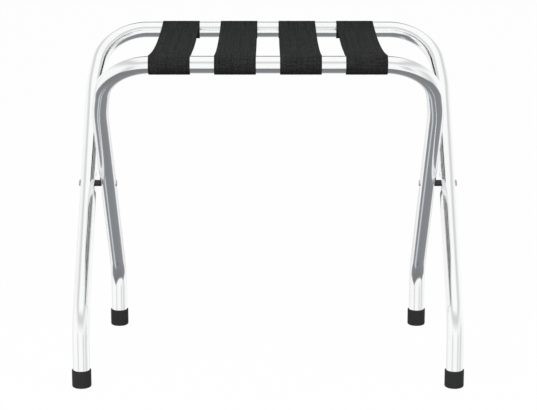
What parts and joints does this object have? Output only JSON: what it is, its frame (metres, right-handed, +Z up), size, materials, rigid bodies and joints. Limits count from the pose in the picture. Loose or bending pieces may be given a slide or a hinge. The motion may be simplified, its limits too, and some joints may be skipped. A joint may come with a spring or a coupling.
{
  "type": "folding luggage rack",
  "caption": "Folding luggage rack: crossed chromed tube frames riveted at the sides, with black webbing straps between their top rails and rubber-tipped legs.",
  "frame": {"origin": "on the floor, midway between the four feet, under the middle of the straps", "axes": "+Z up, +X along the rails to the right as seen from the front, +Y to the rear"},
  "size_m": [0.5132, 0.3692, 0.4409],
  "materials": {
    "chrome": "bright chrome plate on bent steel tube",
    "rivet_steel": "bright zinc-plated steel",
    "spacer_plastic": "moulded black plastic",
    "rubber": "matt moulded black rubber",
    "webbing": "black ribbed polypropylene webbing"
  },
  "bodies": {
    "outer_frame": {"outer_frame_tube": "chrome", "front_foot_left": "rubber", "front_foot_right": "rubber", "pivot_rivet_left": "rivet_steel", "pivot_rivet_right": "rivet_steel", "rivet_cap_left": "rivet_steel", "rivet_cap_right": "rivet_steel", "pivot_spacer_left": "spacer_plastic", "pivot_spacer_right": "spacer_plastic"},
    "inner_frame": {"inner_frame_tube": "chrome", "rear_foot_left": "rubber", "rear_foot_right": "rubber"},
    "rear_straps": {"rear_strap_half_1": "webbing", "rear_strap_half_2": "webbing", "rear_strap_half_3": "webbing", "rear_strap_half_4": "webbing"},
    "front_straps": {"front_strap_half_1": "webbing", "front_strap_half_2": "webbing", "front_strap_half_3": "webbing", "front_strap_half_4": "webbing"}
  },
  "joints": [
    {"name": "fold", "type": "hinge", "parent": "outer_frame", "child": "inner_frame", "pos_m": [0, 0, 0.2414], "axis": [-1, 0, 0], "range_deg": [0, 79.5], "deforming": ["front_strap_half_1", "front_strap_half_2", "front_strap_half_3", "front_strap_half_4", "rear_strap_half_1", "rear_strap_half_2", "rear_strap_half_3", "rear_strap_half_4"]},
    {"name": "rear_strap_turn", "type": "hinge", "parent": "outer_frame", "child": "rear_straps", "pos_m": [0, 0.1722, 0.4285], "axis": [1, 0, 0], "range_deg": [0, 47.3]},
    {"name": "front_strap_turn", "type": "hinge", "parent": "inner_frame", "child": "front_straps", "pos_m": [0, -0.1722, 0.4285], "axis": [-1, 0, 0], "range_deg": [0, 47.3]}
  ],
  "couplings": [
    {"joint": "rear_strap_turn", "follows": "fold", "ratio": 0.5944},
    {"joint": "front_strap_turn", "follows": "fold", "ratio": 0.5944}
  ]
}
